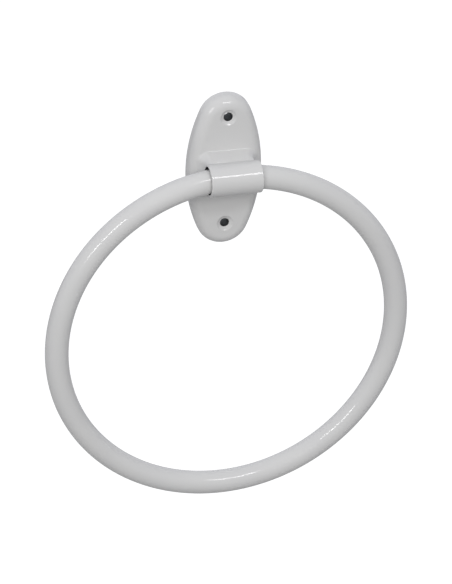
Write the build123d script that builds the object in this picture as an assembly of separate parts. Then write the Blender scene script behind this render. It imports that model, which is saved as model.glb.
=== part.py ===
from build123d import *
import math
import os

# Towel ring: a cast wall bracket with an oval plate and a sleeve, and a round ring that swings in the sleeve.
# Origin on the wall, midway between the screw holes. +Y points into the wall, +Z up, the sleeve lies along X.
# All sizes are in millimetres.

# Ring, bent from round stock, with its two ends meeting inside the sleeve
ring_outer_diameter = 200.0
ring_thickness = 12.5
ring_end_gap = 0.4

# Sleeve that carries the ring
sleeve_length = 27.8
sleeve_wall = 1.35
sleeve_lip_bevel = 0.5
sleeve_mouth_bevel = 0.3
sleeve_axis_out = 22.5
sleeve_axis_up = 2.5
ring_clearance = 0.45

# Oval wall plate, drawn with two end arcs and two side arcs
plate_height = 86.2
plate_width = 40.0
plate_end_radius = 14.2
plate_depth = 9.0
plate_drop = 1.35
plate_edge_round = 5.75
plate_wall = 2.5

# Neck between plate and sleeve, set in from the sleeve's ends and tapered towards the sleeve
neck_set_in = 1.2
neck_root_height = 19.2
neck_tip_height = 14.2
neck_corner = 1.5
neck_root_fillet = 0.5
neck_sleeve_fillet = 0.5

# Screw holes, each with a ball-shaped seat in front and a boss behind
hole_spacing = 62.0
hole_diameter = 5.0
seat_diameter = 8.8
seat_depth = 1.5
boss_diameter = 9.6

# Values that follow from the sizes above
stock_radius = ring_thickness / 2
ring_radius = ring_outer_diameter / 2 - stock_radius
# The ring curves by this much between the sleeve's middle and its mouths, so the bore takes half of it each way.
sleeve_rise = ring_radius - math.sqrt(ring_radius ** 2 - (sleeve_length / 2) ** 2)
bore_radius = stock_radius + sleeve_rise / 2 + ring_clearance
sleeve_radius = bore_radius + sleeve_wall
sleeve_back = sleeve_axis_out - sleeve_radius
sleeve_axis = (0, -sleeve_axis_out, sleeve_axis_up)
ring_centre = (0, -sleeve_axis_out, sleeve_axis_up + sleeve_rise / 2 - ring_radius)
# The neck stands on the flat of the plate, inside the rounded edge, and within the sleeve's length.
plate_flat_width = plate_width - 2 * plate_edge_round
neck_length = min(sleeve_length, plate_flat_width) - 2 * neck_set_in
hollow_depth = plate_depth - plate_wall
# A flat bevel that just touches the round which runs inside the plate's rounded edge, one wall further in.
hollow_bevel = (plate_edge_round - plate_wall) * (2 - math.sqrt(2))
hole_heights = (hole_spacing / 2, -hole_spacing / 2)


def oval(inset):
    # Outline of the plate drawn in by an even inset: four arcs that meet tangent.
    half_height = plate_height / 2 - inset
    half_width = plate_width / 2 - inset
    end_radius = plate_end_radius - inset
    end_centre = half_height - end_radius
    side_radius = (end_centre ** 2 + half_width ** 2 - end_radius ** 2) / (2 * (half_width - end_radius))
    join_angle = math.atan2(end_centre, side_radius - half_width)
    join_x = end_radius * math.cos(join_angle)
    join_y = end_centre + end_radius * math.sin(join_angle)
    arcs = [
        ThreePointArc((join_x, -join_y), (half_width, 0), (join_x, join_y)),
        ThreePointArc((join_x, join_y), (0, half_height), (-join_x, join_y)),
        ThreePointArc((-join_x, join_y), (-half_width, 0), (-join_x, -join_y)),
        ThreePointArc((-join_x, -join_y), (0, -half_height), (join_x, -join_y)),
    ]
    return Pos(0, -plate_drop) * make_face(arcs)


def oval_block(inset, depth):
    return extrude(Plane.XZ * oval(inset), depth)


def front_edges(block):
    return block.faces().sort_by(Axis.Y).first.edges()


def rod_along_sleeve(radius):
    return Pos(*sleeve_axis) * Rot(0, 90, 0) * Cylinder(radius, sleeve_length)


def rod_from_wall(diameter, length, height):
    return extrude(Plane.XZ * Pos(0, height) * Circle(diameter / 2), length)


def neck():
    # Tapered block on the sleeve's level, from inside the plate's wall out to the sleeve's axis.
    taper = (neck_root_height - neck_tip_height) / (sleeve_axis_out - plate_depth)
    half_foot = (neck_root_height + taper * plate_wall) / 2
    half_tip = neck_tip_height / 2
    corners = [
        (-hollow_depth, -half_foot),
        (-hollow_depth, half_foot),
        (-sleeve_axis_out, half_tip),
        (-sleeve_axis_out, -half_tip),
    ]
    profile = Pos(0, sleeve_axis_up) * make_face(Polyline(*corners, close=True))
    block = extrude(Plane.YZ * profile, neck_length / 2, both=True)
    long_edges = block.edges().filter_by(Axis.X, reverse=True).filter_by(Axis.Z, reverse=True)
    return fillet(long_edges, neck_corner)


def solid_bracket():
    # Plate, neck and sleeve as one casting, before it is hollowed and drilled.
    plate = oval_block(0, plate_depth)
    plate = fillet(front_edges(plate), plate_edge_round)
    block = neck()
    body = plate + block
    body = fillet(new_edges(plate, block, combined=body), neck_root_fillet)
    sleeve = rod_along_sleeve(sleeve_radius)
    necked = body + sleeve
    necked = fillet(new_edges(body, sleeve, combined=necked), neck_sleeve_fillet)
    ends = necked.faces().filter_by(GeomType.PLANE).filter_by(Axis.X).sort_by(Axis.X)
    return chamfer(ends.first.edges() + ends.last.edges(), sleeve_lip_bevel)


def sleeve_bore():
    # Straight bore for the ring, with its two mouths eased.
    bore = rod_along_sleeve(bore_radius)
    for side in (-1, 1):
        mouth = Pos(side * sleeve_length / 2, -sleeve_axis_out, sleeve_axis_up) * Rot(0, side * 90, 0)
        ease = Cone(bore_radius, bore_radius + sleeve_mouth_bevel, sleeve_mouth_bevel)
        bore += mouth * Pos(0, 0, -sleeve_mouth_bevel / 2) * ease
    return bore


def hollow_back():
    # Recess behind the plate and up the neck, with the two screw bosses left standing.
    recess = oval_block(plate_wall, hollow_depth)
    recess = chamfer(front_edges(recess), hollow_bevel)
    core_length = neck_length - 2 * plate_wall
    core_height = neck_tip_height - 2 * plate_wall
    core = Pos(0, sleeve_axis_up) * RectangleRounded(core_length, core_height, neck_corner)
    recess += extrude(Plane.XZ * core, sleeve_back)
    for height in hole_heights:
        recess -= rod_from_wall(boss_diameter, hollow_depth, height)
    return recess


def screw_hole(height):
    # Clearance hole with a ball-shaped seat for the screw head.
    seat_radius = (seat_diameter ** 2 / 4 + seat_depth ** 2) / (2 * seat_depth)
    seat_centre = plate_depth - seat_depth + seat_radius
    seat = Pos(0, -seat_centre, height) * Sphere(seat_radius)
    return rod_from_wall(hole_diameter, plate_depth, height) + seat


def wall_bracket():
    body = solid_bracket() - hollow_back() - sleeve_bore()
    for height in hole_heights:
        body -= screw_hole(height)
    return body


def ring():
    # Round stock bent almost full circle, open by a hairline at the top, inside the sleeve.
    half_gap_angle = math.degrees(ring_end_gap / 2 / ring_radius)
    section = Pos(ring_radius, 0) * Circle(stock_radius)
    hoop = revolve(section, Axis.Y, 360 - 2 * half_gap_angle)
    return Pos(*ring_centre) * Rot(0, -90 + half_gap_angle, 0) * hoop


os.makedirs("parts", exist_ok=True)
export_step(wall_bracket(), "parts/wall_bracket.step")
export_step(ring(), "parts/ring.step")
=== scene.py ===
import math

import bpy
from mathutils import Matrix, Vector


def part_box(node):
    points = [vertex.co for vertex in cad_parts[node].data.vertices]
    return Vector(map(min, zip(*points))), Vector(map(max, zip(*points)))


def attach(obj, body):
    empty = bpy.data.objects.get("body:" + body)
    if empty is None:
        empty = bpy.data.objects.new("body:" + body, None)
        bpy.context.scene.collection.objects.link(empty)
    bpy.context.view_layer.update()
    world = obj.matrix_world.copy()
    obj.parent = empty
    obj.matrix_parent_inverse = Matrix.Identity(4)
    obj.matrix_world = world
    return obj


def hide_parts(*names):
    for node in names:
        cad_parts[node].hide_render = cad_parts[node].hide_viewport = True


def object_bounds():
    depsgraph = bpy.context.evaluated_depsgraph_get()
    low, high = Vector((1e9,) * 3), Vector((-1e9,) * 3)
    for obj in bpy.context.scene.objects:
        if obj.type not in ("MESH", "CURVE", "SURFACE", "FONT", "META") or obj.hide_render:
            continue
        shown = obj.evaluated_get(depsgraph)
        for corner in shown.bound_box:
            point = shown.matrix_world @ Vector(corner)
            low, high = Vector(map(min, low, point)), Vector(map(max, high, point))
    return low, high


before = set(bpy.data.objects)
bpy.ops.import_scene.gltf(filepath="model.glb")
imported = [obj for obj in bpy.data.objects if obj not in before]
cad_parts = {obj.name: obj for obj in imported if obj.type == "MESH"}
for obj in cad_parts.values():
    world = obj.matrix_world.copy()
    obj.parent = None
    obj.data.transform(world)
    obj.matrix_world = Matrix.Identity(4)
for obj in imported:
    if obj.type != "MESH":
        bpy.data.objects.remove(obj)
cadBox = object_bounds()
print("frame loaded:", sorted(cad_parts))

mm = 0.001
tolerance = 0.02 * mm  # places closer than this count as the same
facetSag = 0.05 * mm  # how far the middle of a flat face may lie off its round
weldGap = 0.001 * mm  # points closer than this are merged in a finished piece


def near(a, b):
    return abs(a - b) < tolerance


def pick(piece, kind, test):
    # leaves the piece in edit mode with only the points, edges or faces selected that pass the test
    bpy.ops.object.mode_set(mode="EDIT")
    bpy.ops.mesh.select_mode(type=kind)
    bpy.ops.mesh.select_all(action="DESELECT")
    bpy.ops.object.mode_set(mode="OBJECT")
    mesh = piece.data
    for point in mesh.vertices:
        point.select = kind == "VERT" and test(point.co)
    for edge in mesh.edges:
        edge.select = kind == "EDGE" and all(test(mesh.vertices[i].co) for i in edge.vertices)
    for face in mesh.polygons:
        face.select = kind == "FACE" and test(face.center)
    bpy.ops.object.mode_set(mode="EDIT")


def startPiece(name):
    # takes the primitive that was just added as a new piece, with its place in its mesh
    piece = bpy.context.object
    piece.name = name
    piece.data.name = name
    bpy.ops.object.transform_apply(location=True, rotation=True, scale=True)
    return piece


def useModifier(piece, kind, **settings):
    modifier = piece.modifiers.new(kind.lower(), kind)
    for name, value in settings.items():
        setattr(modifier, name, value)
    bpy.ops.object.select_all(action="DESELECT")
    bpy.context.view_layer.objects.active = piece
    piece.select_set(True)
    bpy.ops.object.modifier_apply(modifier=modifier.name)


def join(piece, tool, operation):
    # UNION adds the tool to the piece, DIFFERENCE cuts it out
    bpy.ops.object.mode_set(mode="OBJECT")
    useModifier(piece, "BOOLEAN", operation=operation, object=tool, solver="EXACT")
    bpy.data.objects.remove(tool)


def drawOut(value):
    # extrudes what is selected
    bpy.ops.mesh.extrude_region_move(TRANSFORM_OT_translate={"value": value})


def roundEdges(piece, test, radius, segments):
    pick(piece, "EDGE", test)
    bpy.ops.mesh.bevel(offset=radius, segments=segments, affect="EDGES", clamp_overlap=False)
    bpy.ops.object.mode_set(mode="OBJECT")


def turnFacesOut():
    # ends edit mode with every face pointing outwards
    bpy.ops.mesh.select_all(action="SELECT")
    bpy.ops.mesh.normals_make_consistent(inside=False)
    bpy.ops.object.mode_set(mode="OBJECT")


def finishPiece(piece, smoothAngle):
    # doubles merged, and smooth wherever the faces meet at less than the angle
    bpy.context.view_layer.objects.active = piece
    bpy.ops.object.mode_set(mode="EDIT")
    bpy.ops.mesh.select_all(action="SELECT")
    bpy.ops.mesh.remove_doubles(threshold=weldGap)
    turnFacesOut()
    bpy.ops.object.select_all(action="DESELECT")
    piece.select_set(True)
    bpy.ops.object.shade_smooth_by_angle(angle=math.radians(smoothAngle))
    useModifier(piece, "WEIGHTED_NORMAL", keep_sharp=True)


ringStock = {
    "thickness": 12.5 * mm,
    "endGap": 0.4 * mm,
    "endRound": 0.6 * mm,
    "endSegments": 4,
    "around": 64,  # faces round the stock
    "steps": 360,  # faces along it
    "smoothAngle": 40,
}


def makeRing(size):
    # round stock spun about the ring's centre, open by a hairline at the top
    low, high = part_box("ring")
    centre = (low + high) / 2
    radius = (high.z - low.z - size["thickness"]) / 2
    halfGap = size["endGap"] / 2 / radius
    start = centre + radius * Vector((math.sin(halfGap), 0, math.cos(halfGap)))
    bpy.ops.object.select_all(action="DESELECT")
    bpy.ops.mesh.primitive_circle_add(vertices=size["around"], radius=size["thickness"] / 2,
                                      fill_type="NGON", location=start,
                                      rotation=(0, math.pi / 2 + halfGap, 0))
    ring = startPiece("bentRing")
    bpy.ops.object.mode_set(mode="EDIT")
    bpy.ops.mesh.select_all(action="SELECT")
    bpy.ops.mesh.spin(steps=size["steps"], angle=2 * math.pi - 2 * halfGap, center=centre, axis=(0, -1, 0))
    bpy.ops.mesh.select_all(action="DESELECT")
    bpy.ops.mesh.select_non_manifold()
    bpy.ops.mesh.edge_face_add()  # closes the end that the spin leaves open
    atEnds = lambda p: abs(p.x) < size["endGap"] and p.z > centre.z
    roundEdges(ring, atEnds, size["endRound"], size["endSegments"])
    finishPiece(ring, size["smoothAngle"])
    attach(ring, "ring")
    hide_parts("ring")
    return ring


ring = makeRing(ringStock)
print("ring made")

bracketCasting = {
    "plateHeight": 86.2 * mm,
    "plateWidth": 40.0 * mm,
    "plateDepth": 9.0 * mm,
    "plateDrop": 1.35 * mm,  # of its middle below the middle of the screw holes
    "endRadius": 14.2 * mm,
    "endSteps": 90,
    "sideSteps": 56,
    "edgeRound": 5.75 * mm,
    "edgeSegments": 24,
    "wall": 2.5 * mm,
    "hollowBevel": 1.9 * mm,
    "bossRadius": 4.8 * mm,
    "bossAround": 64,
    "holeSpacing": 62.0 * mm,
    "holeRadius": 2.5 * mm,
    "holeAround": 48,
    "seatRadius": 4.4 * mm,
    "seatDepth": 1.65 * mm,
    "seatAround": 64,
    "seatRim": 0.25 * mm,
    "rimSegments": 4,
    "sleeveRadius": 8.568 * mm,
    "sleeveLength": 27.8 * mm,
    "sleeveAround": 96,
    "boreRadius": 7.218 * mm,  # lets the curved ring through
    "lipRound": 0.5 * mm,
    "lipSegments": 5,
    "mouthFlare": 0.3 * mm,
    "axisOut": 22.5 * mm,
    "axisUp": 2.5 * mm,
    "neckLength": 26.6 * mm,
    "neckRoot": 19.2 * mm,  # height at the plate
    "neckTip": 14.2 * mm,  # height at the sleeve's axis
    "neckCorner": 4.0 * mm,
    "neckSegments": 10,
    "neckSunk": 5.0 * mm,  # how deep its foot lies in the plate
    "flareRadius": 8.0 * mm,
    "flareRise": 5.8 * mm,  # where the flare starts, above the plate
    "flareSweep": 58,  # degrees
    "flareSteps": 10,
    "rootFillet": 0.7 * mm,
    "filletSunk": 0.05 * mm,
    "filletSweep": 90,
    "filletSteps": 5,
    "coreLength": 20.4 * mm,
    "coreHeight": 9.2 * mm,
    "coreCorner": 1.5 * mm,
    "coreSegments": 6,
    "spare": 2.0 * mm,  # how far a cutter stands out of what it cuts
    "smoothAngle": 35,
}


def ovalShape(size):
    # the oval is four arcs that meet tangent: two ends and two sides
    endCentre = size["plateHeight"] / 2 - size["endRadius"]
    halfWidth = size["plateWidth"] / 2
    across = endCentre ** 2 + halfWidth ** 2 - size["endRadius"] ** 2
    sideRadius = across / (2 * (halfWidth - size["endRadius"]))
    sideCentre = sideRadius - halfWidth
    return {"endCentre": endCentre, "sideRadius": sideRadius, "sideCentre": sideCentre,
            "joinAngle": math.atan2(endCentre, sideCentre)}


def spinArc(steps, angle, centre):
    # drags the selected point round a centre in the wall's plane
    bpy.ops.mesh.spin(steps=steps, angle=angle, center=centre, axis=(0, 1, 0))


def makePlate(size):
    # drawn by dragging one point round the four arcs, then raised and rounded
    endCentre, sideRadius, sideCentre, joinAngle = ovalShape(size).values()
    middle = Vector((0, 0, -size["plateDrop"]))
    start = Vector((sideRadius * math.cos(joinAngle) - sideCentre, 0, -sideRadius * math.sin(joinAngle)))
    bpy.ops.object.select_all(action="DESELECT")
    bpy.ops.mesh.primitive_plane_add(size=mm, location=middle + start)
    plate = startPiece("castBracket")
    bpy.ops.object.mode_set(mode="EDIT")
    bpy.ops.mesh.select_mode(type="VERT")
    bpy.ops.mesh.select_all(action="SELECT")
    bpy.ops.mesh.merge(type="CENTER")
    for side in (-1, 1):
        spinArc(size["sideSteps"], 2 * joinAngle, middle + Vector((side * sideCentre, 0, 0)))
        spinArc(size["endSteps"], math.pi - 2 * joinAngle, middle + Vector((0, 0, -side * endCentre)))
    bpy.ops.mesh.select_all(action="SELECT")
    bpy.ops.mesh.remove_doubles(threshold=tolerance)
    bpy.ops.mesh.edge_face_add()
    drawOut((0, -size["plateDepth"], 0))
    turnFacesOut()
    roundEdges(plate, lambda p: near(p.y, -size["plateDepth"]), size["edgeRound"], size["edgeSegments"])
    return plate


def hollowPlate(plate, size):
    # even wall behind, with a bevel that follows the rounded edge in front
    straight = size["plateDepth"] - size["wall"] - size["hollowBevel"]
    pick(plate, "FACE", lambda p: near(p.y, 0))
    bpy.ops.mesh.inset(thickness=size["wall"], depth=0)
    drawOut((0, -straight, 0))
    bpy.ops.mesh.inset(thickness=size["hollowBevel"], depth=-size["hollowBevel"])
    bpy.ops.object.mode_set(mode="OBJECT")


def addRod(name, radius, nearEnd, farEnd, height, around):
    # round bar square to the wall
    bpy.ops.object.select_all(action="DESELECT")
    bpy.ops.mesh.primitive_cylinder_add(vertices=around, radius=radius, depth=abs(farEnd - nearEnd),
                                        location=(0, (nearEnd + farEnd) / 2, height),
                                        rotation=(math.pi / 2, 0, 0))
    return startPiece(name)


def addRoundedFace(name, length, height, corner, segments, place):
    # flat rounded rectangle parallel to the wall, left in edit mode to be drawn out
    bpy.ops.object.select_all(action="DESELECT")
    bpy.ops.mesh.primitive_plane_add(size=height, location=place, rotation=(math.pi / 2, 0, 0))
    piece = startPiece(name)
    bpy.ops.object.mode_set(mode="EDIT")
    bpy.ops.mesh.select_all(action="SELECT")
    bpy.ops.transform.resize(value=(length / height, 1, 1), center_override=place)
    bpy.ops.mesh.bevel(offset=corner, segments=segments, affect="VERTICES")
    return piece


def hollowLevels(start, radius, sweep, steps):
    # levels down a hollow round, in even turns from where it starts
    turns = [math.radians(sweep) * i / steps for i in range(steps + 1)]
    return [start - radius * math.sin(turn) for turn in turns]


def turnedOut(radius, depth):
    # how far a hollow round has turned outwards, so deep below its start
    depth = min(max(depth, 0), radius)
    return radius - math.sqrt(radius ** 2 - depth ** 2)


def makeNeck(size):
    # rounded rectangle at the sleeve's axis, drawn out to the plate: it gets taller all the way,
    # flares at its two ends, and has a small fillet at its root
    middle = (0, -size["axisOut"], size["axisUp"])
    length, height, out = size["neckLength"], size["neckTip"], size["axisOut"]
    neck = addRoundedFace("neck", length, height, size["neckCorner"], size["neckSegments"], middle)
    taper = (size["neckRoot"] - size["neckTip"]) / (size["axisOut"] - size["plateDepth"])
    flareStart = size["plateDepth"] + size["flareRise"]
    filletStart = size["plateDepth"] + size["rootFillet"] - size["filletSunk"]
    flare = hollowLevels(flareStart, size["flareRadius"], size["flareSweep"], size["flareSteps"])
    fillet = hollowLevels(filletStart, size["rootFillet"], size["filletSweep"], size["filletSteps"])
    foot = size["plateDepth"] - size["neckSunk"]
    for newOut in sorted(flare + fillet + [foot], reverse=True):
        flareDepth = flareStart - max(newOut, flare[-1])
        newLength = size["neckLength"] + 2 * turnedOut(size["flareRadius"], flareDepth)
        newHeight = size["neckTip"] + taper * (size["axisOut"] - newOut)
        newHeight += 2 * turnedOut(size["rootFillet"], filletStart - newOut)
        drawOut((0, out - newOut, 0))
        bpy.ops.transform.resize(value=(newLength / length, 1, newHeight / height), center_override=middle)
        length, height, out = newLength, newHeight, newOut
    turnFacesOut()
    return neck


def makeCore(size):
    # cutter for the hollow in the neck, from the sleeve's back out through the wall's plane
    sleeveBack = size["axisOut"] - size["sleeveRadius"]
    place = (0, -sleeveBack, size["axisUp"])
    core = addRoundedFace("core", size["coreLength"], size["coreHeight"], size["coreCorner"],
                          size["coreSegments"], place)
    drawOut((0, sleeveBack + size["spare"], 0))
    turnFacesOut()
    return core


def addSleeveRod(name, radius, length, size):
    bpy.ops.object.select_all(action="DESELECT")
    bpy.ops.mesh.primitive_cylinder_add(vertices=size["sleeveAround"], radius=radius, depth=length,
                                        location=(0, -size["axisOut"], size["axisUp"]),
                                        rotation=(0, math.pi / 2, 0))
    return startPiece(name)


def makeSleeve(size):
    half = size["sleeveLength"] / 2
    sleeve = addSleeveRod("sleeve", size["sleeveRadius"], size["sleeveLength"], size)
    for end in (-half, half):
        roundEdges(sleeve, lambda p: near(p.x, end), size["lipRound"], size["lipSegments"])
    return sleeve


def makeBore(size):
    # cutter for the sleeve's bore, flared at both mouths
    axis = (0, -size["axisOut"], size["axisUp"])
    straight = size["sleeveLength"] / 2 - size["mouthFlare"]
    bore = addSleeveRod("bore", size["boreRadius"], 2 * straight, size)
    wider = (size["boreRadius"] + size["mouthFlare"]) / size["boreRadius"]
    for side in (-1, 1):
        pick(bore, "FACE", lambda p: near(p.x, side * straight))
        drawOut((side * size["mouthFlare"], 0, 0))
        bpy.ops.transform.resize(value=(1, wider, wider), center_override=axis)
        drawOut((side * size["spare"], 0, 0))
        bpy.ops.object.mode_set(mode="OBJECT")
    return bore


def makeSeat(height, size):
    # ball that cuts the seat for a screw head
    ball = (size["seatRadius"] ** 2 + size["seatDepth"] ** 2) / (2 * size["seatDepth"])
    out = size["plateDepth"] - size["seatDepth"] + ball
    bpy.ops.object.select_all(action="DESELECT")
    bpy.ops.mesh.primitive_uv_sphere_add(segments=size["seatAround"], ring_count=size["seatAround"],
                                         radius=ball, location=(0, -out, height),
                                         rotation=(math.pi / 2, 0, 0))
    return startPiece("seat")


def makeBracket(size):
    front = -size["plateDepth"]
    heights = (-size["holeSpacing"] / 2, size["holeSpacing"] / 2)
    bracket = makePlate(size)
    join(bracket, makeNeck(size), "UNION")
    hollowPlate(bracket, size)
    bossEnd = front + size["wall"] / 2
    for height in heights:
        boss = addRod("boss", size["bossRadius"], 0, bossEnd, height, size["bossAround"])
        join(bracket, boss, "UNION")
    join(bracket, makeSleeve(size), "UNION")
    join(bracket, makeCore(size), "DIFFERENCE")
    join(bracket, makeBore(size), "DIFFERENCE")
    for height in heights:
        join(bracket, makeSeat(height, size), "DIFFERENCE")
        rim = lambda p: near(p.y, front) and near(math.hypot(p.x, p.z - height), size["seatRadius"])
        roundEdges(bracket, rim, size["seatRim"], size["rimSegments"])
        hole = addRod("hole", size["holeRadius"], size["spare"], front, height, size["holeAround"])
        join(bracket, hole, "DIFFERENCE")
    finishPiece(bracket, size["smoothAngle"])
    return bracket


bracket = makeBracket(bracketCasting)
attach(bracket, "bracket")
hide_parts("wall_bracket")
print("bracket made")


def linear(hexColor):
    # sRGB hex to the linear colour that the shader sockets take
    parts = [int(hexColor[i:i + 2], 16) / 255 for i in (1, 3, 5)]
    bent = [c / 12.92 if c <= 0.04045 else ((c + 0.055) / 1.055) ** 2.4 for c in parts]
    return (*bent, 1.0)


def addNode(tree, kind, inputs=None, **settings):
    # one node: settings are its properties, inputs are {socket: value, or the output that feeds it}
    node = tree.nodes.new(kind)
    for name, value in settings.items():
        setattr(node, name, value)
    for name, value in (inputs or {}).items():
        if isinstance(value, bpy.types.NodeSocket):
            tree.links.new(value, node.inputs[name])
        else:
            node.inputs[name].default_value = value
    return node


def newMaterial(name):
    material = bpy.data.materials.new(name)
    material.use_nodes = True
    material.node_tree.nodes.clear()
    return material, material.node_tree


# gloss enamel, sprayed and stoved: light grey, sharp thin highlights, the faintest orange peel in them
enamelLook = {
    "shadeA": "#CACACA",
    "shadeB": "#CECECD",
    "cloud": 25 * mm,  # size of the patches where the shade wanders
    "patch": 8 * mm,  # size of the patches where the gloss wanders
    "roughness": (0.09, 0.14),
    "peel": 2.5 * mm,  # size of the bumps
    "peelStrength": 0.12,
    "peelDepth": 0.02 * mm,
    "metallic": 0.0,
}

# thin overspray on the cast skin of the hollow: duller and a little darker than the front
oversprayLook = {
    "shadeA": "#A9A9A7",
    "shadeB": "#BDBDBB",
    "cloud": 6 * mm,
    "patch": 4 * mm,
    "roughness": (0.4, 0.6),
    "peel": 0.8 * mm,
    "peelStrength": 0.5,
    "peelDepth": 0.06 * mm,
    "metallic": 0.0,
}

# bare die-cast zinc, gone dark, and painted darker still as painted shade: the shadow deep inside the
# screw holes and the sleeve's bore is painted into this colour, so they read as dark holes
bareZincWithPaintedShadeLook = {
    "shadeA": "#3A3C3E",
    "shadeB": "#505356",
    "cloud": 2 * mm,
    "patch": 1.5 * mm,
    "roughness": (0.45, 0.65),
    "peel": 0.6 * mm,
    "peelStrength": 0.4,
    "peelDepth": 0.05 * mm,
    "metallic": 1.0,
}

noiseDetail = {"cloud": 2, "patch": 3, "peel": 1}  # finer layers in each pattern
noiseSpan = (0.3, 0.7)  # most of a noise pattern's values lie between these


def coated(name, look):
    # shade and gloss wander a little over the piece, and small bumps break up its highlights
    material, tree = newMaterial(name)
    place = addNode(tree, "ShaderNodeTexCoord").outputs["Object"]
    noise = {}
    for grain, detail in noiseDetail.items():
        pattern = {"Vector": place, "Scale": 1 / look[grain], "Detail": detail}
        noise[grain] = addNode(tree, "ShaderNodeTexNoise", pattern).outputs["Fac"]
    # sockets 6 and 7 of a mix take its two colours, and 2 gives the result
    shade = addNode(tree, "ShaderNodeMix", {
        "Factor": noise["cloud"],
        6: linear(look["shadeA"]),
        7: linear(look["shadeB"]),
    }, data_type="RGBA")
    gloss = addNode(tree, "ShaderNodeMapRange", {
        "Value": noise["patch"],
        "From Min": noiseSpan[0],
        "From Max": noiseSpan[1],
        "To Min": look["roughness"][0],
        "To Max": look["roughness"][1],
    })
    bump = addNode(tree, "ShaderNodeBump", {
        "Height": noise["peel"],
        "Strength": look["peelStrength"],
        "Distance": look["peelDepth"],
    })
    shader = addNode(tree, "ShaderNodeBsdfPrincipled", {
        "Base Color": shade.outputs[2],
        "Roughness": gloss.outputs["Result"],
        "Normal": bump.outputs["Normal"],
        "Metallic": look["metallic"],
    })
    addNode(tree, "ShaderNodeOutputMaterial", {"Surface": shader.outputs["BSDF"]})
    return material


def inBores(p):
    # middle of a face on the wall of a screw hole, of the sleeve's bore or of its flared mouths: these
    # faces get the painted shade of the dark bores
    size = bracketCasting
    offHole = min(math.hypot(p.x, p.z - side * size["holeSpacing"] / 2) for side in (-1, 1))
    inHole = near(offHole, size["holeRadius"]) and p.y > size["wall"] - size["plateDepth"]
    offBore = math.hypot(p.y + size["axisOut"], p.z - size["axisUp"]) - size["boreRadius"]
    fromEnd = size["sleeveLength"] / 2 - abs(p.x)
    inMouth = 0 < offBore < size["mouthFlare"] and facetSag < fromEnd < size["mouthFlare"]
    return inHole or near(offBore, 0) or inMouth


def inHollow(p):
    # middle of a face behind the plate's front wall and inside the rim
    size = bracketCasting
    shape = ovalShape(size)
    behind = size["wall"] - size["plateDepth"] - tolerance < p.y < -tolerance
    x, z = abs(p.x), abs(p.z + size["plateDrop"])
    beyond = z - shape["endCentre"]
    if beyond > 0 and math.atan2(beyond, x) > shape["joinAngle"]:
        inset = size["endRadius"] - math.hypot(x, beyond)
    else:
        inset = shape["sideRadius"] - math.hypot(x + shape["sideCentre"], z)
    return behind and inset > size["wall"] - facetSag


def paint(piece, material, test=None):
    # the first material covers the piece, a later one only the faces that pass the test
    piece.data.materials.append(material)
    if test:
        bpy.context.view_layer.objects.active = piece
        pick(piece, "FACE", test)
        piece.active_material_index = len(piece.data.materials) - 1
        bpy.ops.object.material_slot_assign()
        bpy.ops.object.mode_set(mode="OBJECT")


paint(ring, coated("stovedEnamelOnSteel", enamelLook))
paint(bracket, coated("stovedEnamelOnZinc", enamelLook))
paint(bracket, coated("enamelOverspray", oversprayLook), inHollow)
# bores: bare zinc with painted shade standing in for the shadow inside them
paint(bracket, coated("bareZincWithPaintedBoreShade", bareZincWithPaintedShadeLook), inBores)
print("materials set")


def wayTo(azimuth, elevation):
    # unit vector away from the object, angles in degrees, azimuth 0 straight in front of the wall
    a, e = math.radians(azimuth), math.radians(elevation)
    return Vector((math.sin(a) * math.cos(e), -math.cos(a) * math.cos(e), math.sin(e)))


def standAt(spot, right, up, back):
    # place of a camera or lamp that looks along minus back
    return Matrix.Translation(spot) @ Matrix((right, up, back)).transposed().to_4x4()


photoView = {
    "size": (452, 584),  # pixels of the photograph
    "ringCentre": (228.4, 333.5),  # where the ring's centre lies in it
    "azimuth": -16.62,
    "elevation": 29.72,
    "roll": 2.04,
    "distance": 1.6,
    "lens": 184.93,
    "sensor": 36.0,
}


def placeCamera(view):
    low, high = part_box("ring")
    target = (low + high) / 2
    azimuth, roll = math.radians(view["azimuth"]), math.radians(view["roll"])
    back = wayTo(view["azimuth"], view["elevation"])
    level = Vector((math.cos(azimuth), math.sin(azimuth), 0))
    upright = back.cross(level)
    right = math.cos(roll) * level + math.sin(roll) * upright
    up = math.cos(roll) * upright - math.sin(roll) * level
    width, height = view["size"]
    metresPerPixel = view["distance"] * view["sensor"] / (view["lens"] * height)
    aside = (view["ringCentre"][0] - width / 2) * metresPerPixel
    below = (view["ringCentre"][1] - height / 2) * metresPerPixel
    bpy.ops.object.camera_add()
    camera = bpy.context.object
    camera.data.lens = view["lens"]
    camera.data.sensor_width = view["sensor"]
    spot = target + view["distance"] * back - aside * right + below * up
    camera.matrix_world = standAt(spot, right, up, back)
    bpy.context.scene.camera = camera


placeCamera(photoView)
print("camera placed")


studio = {
    "floorDrop": 0.9,
    "floorSize": 14.0,
    "floorColour": "#A6A6A5",
    "floorGlow": 0.8,  # lifts the floor to white where the camera sees it
    "skyColour": "#F8F9FF",
    "skyLevels": (0.43, 0.86),  # in front, behind
    "glossyShare": 0.2,  # how much of the white ground the gloss picks up
}


def whiteShare(tree, glossyShare):
    # 1 for camera and transmission rays, less for glossy ones, 0 for light that falls on the object
    path = addNode(tree, "ShaderNodeLightPath").outputs
    clearRays = {0: path["Is Camera Ray"], 1: path["Is Transmission Ray"]}
    clear = addNode(tree, "ShaderNodeMath", clearRays, operation="MAXIMUM")
    glossyRays = {0: path["Is Glossy Ray"], 1: glossyShare}
    glossy = addNode(tree, "ShaderNodeMath", glossyRays, operation="MULTIPLY")
    both = {0: clear.outputs[0], 1: glossy.outputs[0]}
    return addNode(tree, "ShaderNodeMath", both, operation="MAXIMUM").outputs[0]


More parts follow.
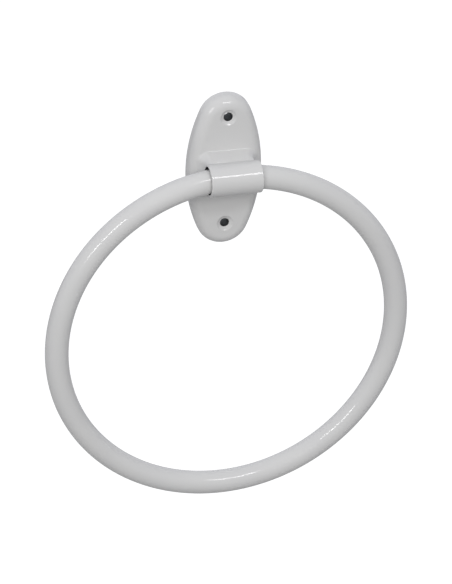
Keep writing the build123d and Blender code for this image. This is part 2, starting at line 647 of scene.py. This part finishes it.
def makeFloor(look):
    # pale paper far below: it keeps the shadow, and glows just enough to look white
    bpy.ops.object.select_all(action="DESELECT")
    place = (0, 0, cadBox[0].z - look["floorDrop"])
    bpy.ops.mesh.primitive_plane_add(size=look["floorSize"], location=place)
    floor = bpy.context.object
    floor.name = "floor"
    material, tree = newMaterial("palePaper")
    paper = addNode(tree, "ShaderNodeBsdfDiffuse", {"Color": linear(look["floorColour"])})
    white = whiteShare(tree, look["glossyShare"])
    level = addNode(tree, "ShaderNodeMath", {0: white, 1: look["floorGlow"]}, operation="MULTIPLY")
    glow = addNode(tree, "ShaderNodeEmission", {"Strength": level.outputs[0]})
    both = addNode(tree, "ShaderNodeAddShader", {0: paper.outputs[0], 1: glow.outputs[0]})
    addNode(tree, "ShaderNodeOutputMaterial", {"Surface": both.outputs[0]})
    floor.data.materials.append(material)


def makeSky(look):
    # even soft light, a little cool and brighter from behind the wall, in front of a white ground
    world = bpy.context.scene.world or bpy.data.worlds.new("studio")
    bpy.context.scene.world = world
    world.use_nodes = True
    tree = world.node_tree
    tree.nodes.clear()
    place = addNode(tree, "ShaderNodeTexCoord")
    axes = addNode(tree, "ShaderNodeSeparateXYZ", {"Vector": place.outputs["Generated"]})
    level = addNode(tree, "ShaderNodeMapRange", {
        "Value": axes.outputs["Y"],
        "From Min": -1,
        "From Max": 1,
        "To Min": look["skyLevels"][0],
        "To Max": look["skyLevels"][1],
    })
    soft = addNode(tree, "ShaderNodeBackground", {
        "Color": linear(look["skyColour"]),
        "Strength": level.outputs["Result"],
    })
    white = addNode(tree, "ShaderNodeBackground", {"Color": (1, 1, 1, 1), "Strength": 1})
    share = whiteShare(tree, look["glossyShare"])
    mix = addNode(tree, "ShaderNodeMixShader", {0: share, 1: soft.outputs[0], 2: white.outputs[0]})
    addNode(tree, "ShaderNodeOutputWorld", {"Surface": mix.outputs[0]})


softboxes = {
    "keyLamp": {
        "azimuth": 15,
        "elevation": 47,
        "distance": 2.0,
        "size": (0.84, 0.2),
        "radiance": 12.5,
        "colour": "#FFFFFF",
        "shows": True,  # whether the gloss mirrors it
    },
    "leftLamp": {
        "azimuth": -48,
        "elevation": 24,
        "distance": 2.0,
        "size": (0.8, 0.2),
        "radiance": 12.5,
        "colour": "#FFFFFF",
        "shows": True,
    },
    "cameraFill": {
        "azimuth": -16.6,
        "elevation": 29.7,
        "distance": 2.2,
        "size": (0.8, 0.8),
        "radiance": 7.4,
        "colour": "#FFFDF8",
        "shows": False,
    },
}


def addLamp(name, lamp):
    # softbox that faces the object, its long side laid round the axis that points into the wall
    away = wayTo(lamp["azimuth"], lamp["elevation"])
    along = Vector((0, 1, 0)).cross(away).normalized()
    target = (cadBox[0] + cadBox[1]) / 2
    length, width = lamp["size"]
    bpy.ops.object.light_add(type="AREA")
    light = bpy.context.object
    light.name = name
    light.data.shape = "RECTANGLE"
    light.data.size, light.data.size_y = length, width
    light.data.energy = lamp["radiance"] * math.pi * length * width
    light.data.color = linear(lamp["colour"])[:3]
    light.visible_glossy = lamp["shows"]
    light.matrix_world = standAt(target + lamp["distance"] * away, along, away.cross(along), away)


makeFloor(studio)
makeSky(studio)
for name, lamp in softboxes.items():
    addLamp(name, lamp)
print("studio set")

bpy.context.scene.view_settings.view_transform = "Standard"
